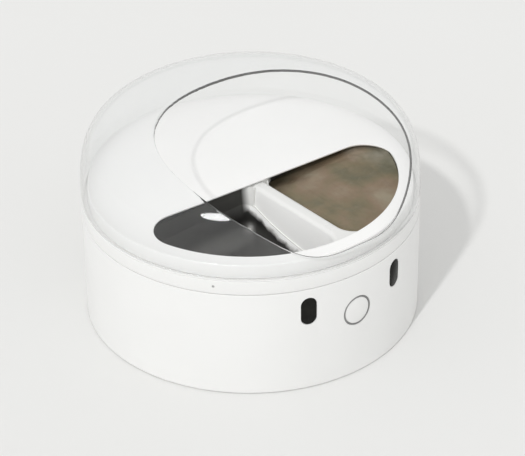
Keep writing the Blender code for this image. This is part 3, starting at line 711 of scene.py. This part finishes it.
def wet_food():
    """Minced meat in gravy: soft browns, with painted shade beside the hub, and lighter and greyer
    toward the outer side.
    """
    made, tree, shader = material("wet_food", (0.25, 0.19, 0.12), 0.55)
    meat = ramp(tree, pattern(tree, 24, 4), (
        (0.36, (0.13, 0.12, 0.072)), (0.46, (0.185, 0.15, 0.088)),
        (0.55, (0.225, 0.163, 0.106)), (0.66, (0.285, 0.242, 0.17)),
    ))
    # painted shade: a dark olive tint beside the hub, where the deck's edge shades the food
    shade_start, shade_full, shade_wave = -34 * MM, -11 * MM, 4 * MM
    inner = maths(tree, "ADD", axis(tree, "Y"), drift(tree, 60, 3, -shade_wave, shade_wave))
    inner = maths(tree, "SUBTRACT", inner, maths(tree, "MULTIPLY", axis(tree, "X"), 0.25))
    hub_shade = ranged(tree, inner, shade_start, shade_full, 0, 1)
    meat = mixed(tree, hub_shade, meat, (0.16, 0.17, 0.13), "MULTIPLY")
    # lighter and greyer toward the outer side
    paler_start, paler_full, paler_wave, paleness = 62 * MM, 88 * MM, 9 * MM, 0.55
    outer = maths(tree, "ADD", axis(tree, "X"), maths(tree, "MULTIPLY", axis(tree, "Y"), 0.5))
    outer = maths(tree, "ADD", outer, drift(tree, 70, 4, -paler_wave, paler_wave))
    paler = ranged(tree, outer, paler_start, paler_full, 0, paleness)
    meat = mixed(tree, paler, meat, (0.4, 0.37, 0.31))
    tree.links.new(meat, shader.inputs["Base Color"])
    wander(tree, shader, 150, 4, 0.45, 0.7)
    grain(tree, shader, pattern(tree, 380, 5), 0.16 * MM)
    return made


def board():
    """Solder mask over faint copper tracks."""
    made, tree, shader = material("circuit_board", (0.02, 0.14, 0.06), 0.35)
    tracks = pattern(tree, 500, 1, (1, 0.06, 1))
    tint(tree, tracks, (0.014, 0.10, 0.045), (0.03, 0.2, 0.08), shader)
    return made


def floor_look():
    """Pale matt floor with hardly any texture."""
    made, tree, shader = material("pale_floor", (0.8, 0.8, 0.79), 0.9)
    tint(tree, pattern(tree, 3, 2), (0.80, 0.80, 0.788), (0.806, 0.806, 0.796), shader)
    shader.inputs["Specular IOR Level"].default_value = 0.0
    return made


WHITE = moulded("white_shell", (0.835, 0.835, 0.825))
DECK_WHITE = moulded("white_deck", (0.94, 0.94, 0.93), 0.42)
TRAY_WHITE = tray_white()
GREY = moulded("grey_plastic", (0.45, 0.45, 0.45), 0.5, 0.02 * MM)
BLACK = moulded("black_plastic", (0.03, 0.03, 0.03), 0.4, 0.02 * MM)
RUBBER = rubber()
STEEL = brushed("plain_steel", (0.55, 0.55, 0.54), 0.32, (1, 1, 0.1))
LINER = liner_steel()
RING_METAL = brushed("ring_metal", (0.36, 0.36, 0.36), 0.35)
BRASS = brushed("brass", (0.68, 0.5, 0.2), 0.35, (1, 1, 0.1))
GLASS = dark_glass()
CLEAR = clear_plastic()
FOOD = wet_food()
BOARD = board()
WRAP = moulded("battery_wrap", (0.06, 0.06, 0.07), 0.3, 0.005 * MM)


# ---------------------------------------------------------------- pieces

def place(piece, look, body, slot, *nodes):
    """Give a piece its material, let it ride on a body and stand for CAD nodes."""
    piece.data.materials.append(look)
    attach(piece, body)
    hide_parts(*nodes)
    return piece


def base():
    """Outer wall with soft edges and its openings."""
    low, top = BODY_LOW[2], BODY_HIGH[2]
    inner = BODY_R - WALL
    shelf_r = inner - SHELF
    cover_r = COVER_HIGH[0] + GAP
    flange = COVER_HIGH[2] + GAP
    ledge_top = flange + LEDGE_THICK
    profile = arc(BODY_R - EDGE_ROUND, top - EDGE_ROUND, EDGE_ROUND, 90, 0, steps=4)
    profile += arc(BODY_R - BOTTOM_ROUND, low + BOTTOM_ROUND, BOTTOM_ROUND, 0, -90, steps=10)
    profile += [(cover_r, low), (cover_r, flange)]
    profile += [(cover_r - LEDGE, flange), (cover_r - LEDGE, ledge_top)]
    profile += [(shelf_r, ledge_top), (shelf_r, SHELF_Z), (inner, SHELF_Z), (inner, top)]
    shell = turned("body_shell", profile)
    cutters = []
    wide, tall = SENSOR_WIDTH + 2 * GAP, SENSOR_HEIGHT + 2 * GAP
    for side in (-1, 1):
        hole = wall_cutter(f"pane_hole_{side}", lambda g: pill(wide + 2 * g, tall + 2 * g))
        cutters.append(outward(hole, side * SENSOR_ANGLE, SENSOR_Z))
    hole = wall_cutter("ring_hole", lambda g: circle(RING_R + GAP + g))
    cutters.append(outward(hole, 0, BUTTON_Z))
    across = INLET_HIGH[0] - INLET_LOW[0] + 2 * GAP
    high = INLET_HIGH[2] - INLET_LOW[2] + 2 * GAP

    def lying(grow):
        return [(y, -x) for x, y in pill(high + 2 * grow, across + 2 * grow)]

    cutters.append(outward(wall_cutter("inlet_hole", lying), math.pi, INLET_Z))
    carve(shell, cutters)
    return place(shell, WHITE, "base", "white_shell", "base_shell")


def collar():
    """Collar band with soft edges and the hole for the alignment mark."""
    low, top = COLLAR_LOW[2], COLLAR_HIGH[2]
    seam = BODY_HIGH[2] + SEAM
    profile = arc(COLLAR_R - EDGE_ROUND, top - EDGE_ROUND, EDGE_ROUND, 90, 0, steps=4)
    profile += arc(COLLAR_R - EDGE_ROUND, seam + EDGE_ROUND, EDGE_ROUND, 0, -90, steps=4)
    profile += [(SPIGOT_R, seam), (SPIGOT_R, low), (COLLAR_IN, low), (COLLAR_IN, top)]
    band = turned("collar_band", profile)
    mark_low, mark_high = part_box("align_mark")
    middle = [(a + b) / 2 for a, b in zip(mark_low, mark_high)]
    outline = circle(MARK_HOLE_R, 32)
    hole = loft("mark_hole", ((outline, MARK_HOLE_START), (outline, OUTSIDE)))
    outward(hole, math.atan2(middle[1], middle[0]) + math.pi / 2, middle[2])
    carve(band, [hole])
    return place(band, WHITE, "lid", "white_shell", "collar_ring")


def deck():
    """Deck with its half-moon window, a thin soft edge that slopes away below."""
    low = DECK_LOW[2]
    under = DECK_TOP - DECK_THICK
    skirt = DECK_R - DECK_THICK
    edge = 1 * MM
    profile = [(0, DECK_TOP)] + arc(DECK_R - edge, DECK_TOP - edge, edge, 90, 0, steps=6)
    profile += [(DECK_R, low), (skirt, low), (skirt, under), (0, under)]
    panel = turned("deck_panel", profile, closed=False)
    soft = 0.25 * MM
    rounds = 4
    wide = window_outline(DECK_THICK - DECK_EDGE)
    sections = [(wide, under - 5 * MM), (wide, under)]
    sections += [(window_outline(), DECK_TOP - DECK_EDGE), (window_outline(), DECK_TOP - soft)]
    for i in range(1, rounds + 1):
        turn = math.pi / 2 * i / rounds
        grown = window_outline(soft * (1 - math.cos(turn)))
        sections.append((grown, DECK_TOP - soft + soft * math.sin(turn) * ALMOST))
    sections.append((window_outline(soft * 1.2), DECK_TOP + MM))
    window = loft("window", sections)
    window.data.transform(Matrix.Rotation(WINDOW_TURN, 4, "Z"))
    carve(panel, [window])
    return place(panel, DECK_WHITE, "lid", "white_deck", "deck")


def hood():
    """Clear hood: one swept sheet from the feeding hole's rim to the collar.

    It is given its wall and a polished rim. The attribute near_rim falls from 1 at the rim to 0
    at the next row of points.
    """
    points = hood_profile()
    foot = points[-1][0]
    around, rows = 320, 34
    shape = bmesh.new()
    columns = []
    for i in range(around):
        angle = 2 * math.pi * i / around
        start = rim_length(points, angle)
        column = []
        for j in range(rows + 1):
            radius, height = profile_at(points, start + (foot - start) * j / rows)
            spot = (radius * math.cos(angle), radius * math.sin(angle), height)
            column.append(shape.verts.new(spot))
        columns.append(column)
    for i in range(around):
        near, far = columns[i], columns[(i + 1) % around]
        for j in range(rows):
            shape.faces.new((near[j], near[j + 1], far[j + 1], far[j]))
    mesh = finished(shape, "hood_shell")
    near_rim = mesh.attributes.new("near_rim", "FLOAT", "POINT")
    for i in range(around):
        near_rim.data[i * (rows + 1)].value = 1
    sheet = link("hood_shell", mesh)
    wall = sheet.modifiers.new("Wall", "SOLIDIFY")
    wall.thickness = HOOD_WALL
    wall.offset = -1
    wall.use_even_offset = True
    settle(sheet)
    bevel(sheet, 0.3 * MM, segments=3, angle=50)
    return place(sheet, CLEAR, "hood", "clear_hood", "clear_hood")


def well_cutter(name):
    """Cuts one well: a filleted floor, drafted walls and a mouth that rounds the divider tops."""
    rounds = 10
    sections = bowl_sections(WELL_FLOOR, 0, WELL_FILLET, TRAY_TOP - DIVIDER_ROUND)
    for i in range(1, rounds + 1):
        turn = math.pi / 2 * i / rounds
        height = TRAY_TOP - DIVIDER_ROUND * (1 - math.sin(turn) * ALMOST)
        near_top = min(max(1 - (TRAY_TOP - height) / RIM_ROUND, 0), 1)
        rim = RIM_ROUND * (1 - math.sqrt(1 - near_top ** 2)) - draft_inset(height)
        grown = DIVIDER_ROUND * (1 - math.cos(turn)) - draft_inset(height)
        sections.append((well_outline(-rim, -grown), height))
    sections.append((well_outline(-RIM_ROUND, -DIVIDER_ROUND), TRAY_TOP + MM))
    return loft(name, sections)


def tray():
    """Four-well tray with filleted wells and rounded divider tops."""
    low, top = TRAY_LOW[2], TRAY_TOP
    upper, lower = 1.2 * MM, 2 * MM
    profile = [(0, top)] + arc(TRAY_R - upper, top - upper, upper, 90, 0, steps=5)
    profile += arc(TRAY_R - lower, low + lower, lower, 0, -90, steps=5) + [(0, low)]
    pan = turned("tray_body", profile, closed=False)
    wells = []
    for i in range(4):
        well = well_cutter(f"well_{i}")
        well.data.transform(Matrix.Rotation(TRAY_TURN + i * math.pi / 2, 4, "Z"))
        wells.append(well)
    carve(pan, wells)
    return place(pan, TRAY_WHITE, "tray", "white_tray", "food_tray")


def lip_cutter(steps=48):
    """Cuts a liner's side down to a low lip that sweeps up toward the hub."""
    high = LINER_HIGH[2] + 20 * MM
    reach = [LIP_NEAR + LIP_RUN * (i / steps) ** 2 for i in range(steps + 1)]
    curve = [(x, LIP_Z + LIP_CURVE / (x - LIP_START)) for x in reach]
    outline = [(reach[-1], high), (reach[0], high)] + curve
    cutter = loft("lip", ((outline, -LIP_REACH), (outline, LIP_SIDE)))
    cutter.data.transform(Matrix.Rotation(math.pi / 2, 4, "X"))
    return cutter


def grip():
    """Folded grip edge of a liner, which lies on the tray along the side away from the lip."""
    side = DIVIDER / 2 + GAP
    outer, inner = side + 0.05 * MM, side + 0.5 * MM
    low, high = TRAY_TOP + 0.5 * GAP, TRAY_TOP + 1.5 * GAP
    drop = 2 * MM
    wall = box("grip_wall", (outer, -GRIP_FAR, high - drop), (inner, -GRIP_NEAR, high))
    fold = box("grip_fold", (side - GRIP_FOLD, -GRIP_FAR, low), (inner, -GRIP_NEAR, high))
    return [wall, fold]


def liners():
    """Four dark steel dishes, each with one side cut down to a lip.

    Every other one is a mirror image, so that neighbours face each other's lip.
    """
    floor = LINER_LOW[2]
    top = LINER_HIGH[2]
    bottom = floor + LINER_WALL
    inner = GAP + LINER_WALL
    for i in range(4):
        dish = loft(f"liner_dish_{i + 1}", bowl_sections(floor, GAP, DISH_FILLET, top, DISH_CORNER))
        room = loft("room", bowl_sections(bottom, inner, DISH_FILLET, top + MM, DISH_CORNER))
        carve(dish, [room])
        carve(dish, [lip_cutter()])
        carve(dish, grip(), "UNION")
        bevel(dish, 0.25 * MM, angle=50)
        turn = TRAY_TURN + i * math.pi / 2
        if i % 2 == 0:
            dish.data.transform(Matrix.Scale(-1, 4, (0, 1, 0)))
            dish.data.flip_normals()
            turn -= math.pi / 2
        dish.rotation_euler.z = turn
        place(dish, LINER, "tray", "liner_steel", f"well_liner_{i + 1}")


def chunk_height(x, y):
    """Relief of piled meat chunks, 0 to about 1, from the distances to the nearest chunk centres."""
    wobble = noise.noise(Vector((x * 90, y * 90, 3.1)))
    distances, _ = noise.voronoi(Vector((x * 95 + wobble * 0.4, y * 80, 7.7)))
    dome = 1 - min(distances[0], 1.0) ** 1.6
    seam_width = 0.25
    seam = min(distances[1] - distances[0], seam_width) / seam_width
    return dome * (0.55 + 0.45 * seam)


def eased(value, start, end):
    """Smooth step from 0 at start to 1 at end."""
    share = min(max((value - start) / (end - start), 0), 1)
    return share * share * (3 - 2 * share)


def sunk(spot):
    """1 where the food has sunk beside the hub, 0 further out."""
    return eased(spot.y, -28 * MM, -10 * MM) * (1 - eased(spot.x, 52 * MM, 88 * MM))


def heap_height(spot, share):
    """Height of the food at a spot, a share of the way in from its edge.

    It starts just above the liner's top, dips inside it, and sinks toward the hub.
    """
    from_edge = 14
    inner = min(share * from_edge, 1)
    slope = noise.noise(Vector((spot.x * 22, spot.y * 22, 1.3)))
    relief = FOOD_RELIEF * (slope + chunk_height(spot.x, spot.y) - 0.5)
    return LINER_HIGH[2] + FOOD_RISE + (relief - FOOD_DIP) * inner - FOOD_SINK * sunk(spot)


def food():
    """A heap of wet food that fills the front right well inside its liner."""
    clear = GAP + LINER_WALL + GAP
    draft = draft_inset(FOOD_HIGH[2])
    rings = 46
    shape = bmesh.new()
    loops = []
    bowl_top = FOOD_HIGH[2] - 8 * MM
    for outline, height in bowl_sections(FOOD_LOW[2], clear, DISH_FILLET, bowl_top, DISH_CORNER):
        loops.append([shape.verts.new((x, y, height)) for x, y in outline])
    inside = [Vector(p) for p in well_outline(draft + clear, None, DISH_CORNER)]
    over = [Vector(p) for p in well_outline(draft + GAP, None, DISH_CORNER)]
    edge = [a.lerp(b, min(sunk(a) * 5, 1)) for a, b in zip(over, inside)]
    for j in range(rings):
        share = j / rings
        spots = [point.lerp(FOOD_CENTRE, share) for point in edge]
        loops.append([shape.verts.new((s.x, s.y, heap_height(s, share))) for s in spots])
    bridge(shape, loops)
    last = loops[-1]
    count = len(last)
    tip = shape.verts.new((*FOOD_CENTRE, sum(v.co.z for v in last) / count))
    for i in range(count):
        shape.faces.new((last[i], last[(i + 1) % count], tip))
    shape.faces.new(loops[0][::-1])
    bmesh.ops.recalc_face_normals(shape, faces=shape.faces)
    heap = link("food_heap", finished(shape, "food_heap"))
    settle(heap, sharp=180)
    heap.data.transform(Matrix.Rotation(TRAY_TURN, 4, "Z"))
    return place(heap, FOOD, "tray", "food", "food_portion")


def skin(radius):
    """A fine cylinder round the body axis that trims a piece to the wall."""
    low, high = BODY_LOW[2], BODY_HIGH[2]
    return turned("skin", [(0, high), (radius, high), (radius, low), (0, low)], closed=False)


def sensor_panes():
    """Two dark panes set a little back into the wall."""
    for side, word in ((-1, "left"), (1, "right")):
        outline = pill(SENSOR_WIDTH, SENSOR_HEIGHT)
        pane = loft(f"sensor_pane_{word}", ((outline, PANE_BACK), (outline, OUTSIDE)))
        outward(pane, side * SENSOR_ANGLE, SENSOR_Z)
        carve(pane, [skin(BODY_R - 0.25 * MM)], "INTERSECT")
        bevel(pane, 0.2 * MM, angle=50)
        place(pane, GLASS, "base", "dark_window", f"sensor_window_{word}")


def button_part(name, profile, closed, radius, edge, look, *where):
    """A turned part of the button, trimmed to a radius round the body axis, with soft edges."""
    part = turned(name, profile, closed=closed, steps=96)
    outward(part, 0, BUTTON_Z)
    carve(part, [skin(radius)], "INTERSECT")
    bevel(part, edge, segments=3, angle=50)
    place(part, look, *where)


def button():
    """Metal ring and the cap inside it."""
    face = RING_BACK + RING_FLANGE
    bore = CAP_R + GAP
    profile = [(RING_R, OUTSIDE), (RING_R, face), (RING_FLANGE_R, face), (RING_FLANGE_R, RING_BACK)]
    profile += [(bore, RING_BACK), (bore, OUTSIDE)]
    button_part("button_bezel", profile, True, BODY_R, 0.15 * MM,
                RING_METAL, "base", "ring_metal", "button_ring")
    top = RING_BACK - GAP
    profile = [(0, OUTSIDE), (CAP_R, OUTSIDE), (CAP_R, top), (CAP_LIP_R, top), (CAP_LIP_R, CAP_BACK)]
    profile += [(CAP_HOLLOW_R, CAP_BACK), (CAP_HOLLOW_R, top)]
    profile += [(STEM_R, top), (STEM_R, STEM_BACK), (0, STEM_BACK)]
    button_part("button_face", profile, False, BODY_R - 0.1 * MM, 0.2 * MM,
                WHITE, "button", "white_shell", "button_cap")


def feet():
    """Four rubber feet with a rounded edge and a shallow ring groove."""
    edge, groove = 0.8 * MM, 0.5 * MM
    for i in range(1, 5):
        low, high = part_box(f"foot_{i}")
        radius = (high[0] - low[0]) / 2
        profile = [(0, high[2]), (radius, high[2])] + arc(radius - edge, edge, edge, 0, -90, steps=4)
        for share, depth in ((0.62, 0), (0.58, groove), (0.48, groove), (0.44, 0), (0, 0)):
            profile.append((radius * share, depth))
        pad = turned(f"foot_pad_{i}", profile, closed=False, steps=48)
        middle = ((low[0] + high[0]) / 2, (low[1] + high[1]) / 2, 0)
        pad.data.transform(Matrix.Translation(middle))
        place(pad, RUBBER, "base", "rubber", f"foot_{i}")


def screws():
    """Pan-head screws with a cross recess: the cover's point up, the chassis's point down."""
    shank, tip, taper = 1.2 * MM, 0.8 * MM, 0.6 * MM
    long, thin, deep = 1.5 * MM, 0.3 * MM, 0.5 * MM
    names = [f"cover_screw_{i}" for i in range(1, 5)] + [f"chassis_screw_{i}" for i in range(1, 4)]
    for name in names:
        head_up = name.startswith("chassis")
        low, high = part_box(name)
        radius = (high[0] - low[0]) / 2
        length = high[2] - low[2]
        head = 1.8 * MM if head_up else 0.8 * MM
        edge = min(0.5 * MM, head * 0.6)
        profile = [(0, 0)] + arc(radius - edge, -edge, edge, 90, 0, steps=4)
        profile += [(radius, -head), (shank, -head), (shank, taper - length)]
        profile += [(tip, -length), (0, -length)]
        piece = turned(f"{name}_fine", profile, closed=False, steps=32)
        arms = ((long, thin), (thin, long))
        carve(piece, [box("bar", (-a, -b, -deep), (a, b, MM)) for a, b in arms])
        flip = Matrix.Identity(4) if head_up else Matrix.Rotation(math.pi, 4, "X")
        face = high[2] if head_up else low[2]
        middle = ((low[0] + high[0]) / 2, (low[1] + high[1]) / 2, face)
        piece.data.transform(Matrix.Translation(middle) @ flip)
        place(piece, STEEL, "base", "steel", name)


def dress_frame():
    """Give every CAD node that still shows its material."""
    looks = {
        "grey_plastic": GREY, "black_parts": BLACK, "rubber": RUBBER, "steel": STEEL, "brass": BRASS,
        "circuit_board": BOARD, "battery_wrap": WRAP, "white_shell": WHITE, "white_deck": DECK_WHITE,
        "white_tray": TRAY_WHITE, "dark_window": GLASS, "liner_steel": LINER, "ring_metal": RING_METAL,
        "clear_hood": CLEAR, "food": FOOD,
    }
    for part in frame["record"]["subparts"]:
        thing = frame["nodes"][part["node"]]
        for slot in thing.material_slots:
            slot.material = looks[part["material_slot"]]


# ---------------------------------------------------------------- floor, light and camera

def sun(name, strength, angle):
    """A distant lamp along LAMP_TRAVEL."""
    lamp = bpy.data.lights.new(name, "SUN")
    lamp.energy = strength
    lamp.angle = angle
    bulb = bpy.data.objects.new(name, lamp)
    bulb.rotation_euler = LAMP_TRAVEL.to_track_quat("-Z", "Y").to_euler()
    bpy.context.scene.collection.objects.link(bulb)
    return bulb


def studio():
    """Pale floor, an even sky, one soft lamp and a gleam that shows only in reflections."""
    shape = bmesh.new()
    bmesh.ops.create_grid(shape, x_segments=4, y_segments=4, size=FLOOR_SIZE)
    floor = link("floor", finished(shape, "floor"))
    floor.data.materials.append(floor_look())
    world = bpy.data.worlds.new("studio")
    world.use_nodes = True
    sky = world.node_tree.nodes["Background"]
    sky.inputs["Color"].default_value = (*SKY_TONE, 1)
    sky.inputs["Strength"].default_value = SKY_STRENGTH
    bpy.context.scene.world = world
    sun("lamp", LAMP_STRENGTH, LAMP_SPREAD).visible_glossy = False
    sun("gleam", GLEAM_STRENGTH, GLEAM_SPREAD).visible_diffuse = False


def studio_view():
    """Show the colours as they are, with no film curve."""
    bpy.context.scene.view_settings.view_transform = "Standard"


def camera():
    """Long-lens camera, high in front of the feeder's left side."""
    swing = Matrix.Rotation(VIEW_TURN, 3, "Z")
    forward = swing @ Vector((0, math.cos(VIEW_RISE), -math.sin(VIEW_RISE)))
    right = swing @ Vector((1, 0, 0))
    up = right.cross(forward)
    stand = -forward * VIEW_DISTANCE
    pan = Matrix.Rotation(VIEW_PAN, 3, up)
    forward, right = pan @ forward, pan @ right
    tilt = Matrix.Rotation(VIEW_TILT, 3, right)
    forward, up = tilt @ forward, tilt @ up
    roll = Matrix.Rotation(VIEW_ROLL, 3, forward)
    right, up = roll @ right, roll @ up
    lens = bpy.data.cameras.new("camera")
    lens.lens = VIEW_LENS
    lens.sensor_width = VIEW_SENSOR
    lens.clip_end = VIEW_FAR
    eye = bpy.data.objects.new("camera", lens)
    eye.matrix_world = Matrix.Translation(stand) @ Matrix((right, up, -forward)).transposed().to_4x4()
    bpy.context.scene.collection.objects.link(eye)
    bpy.context.scene.camera = eye


dress_frame()
base()
collar()
deck()
hood()
tray()
liners()
food()
sensor_panes()
button()
feet()
screws()
studio()
studio_view()
camera()
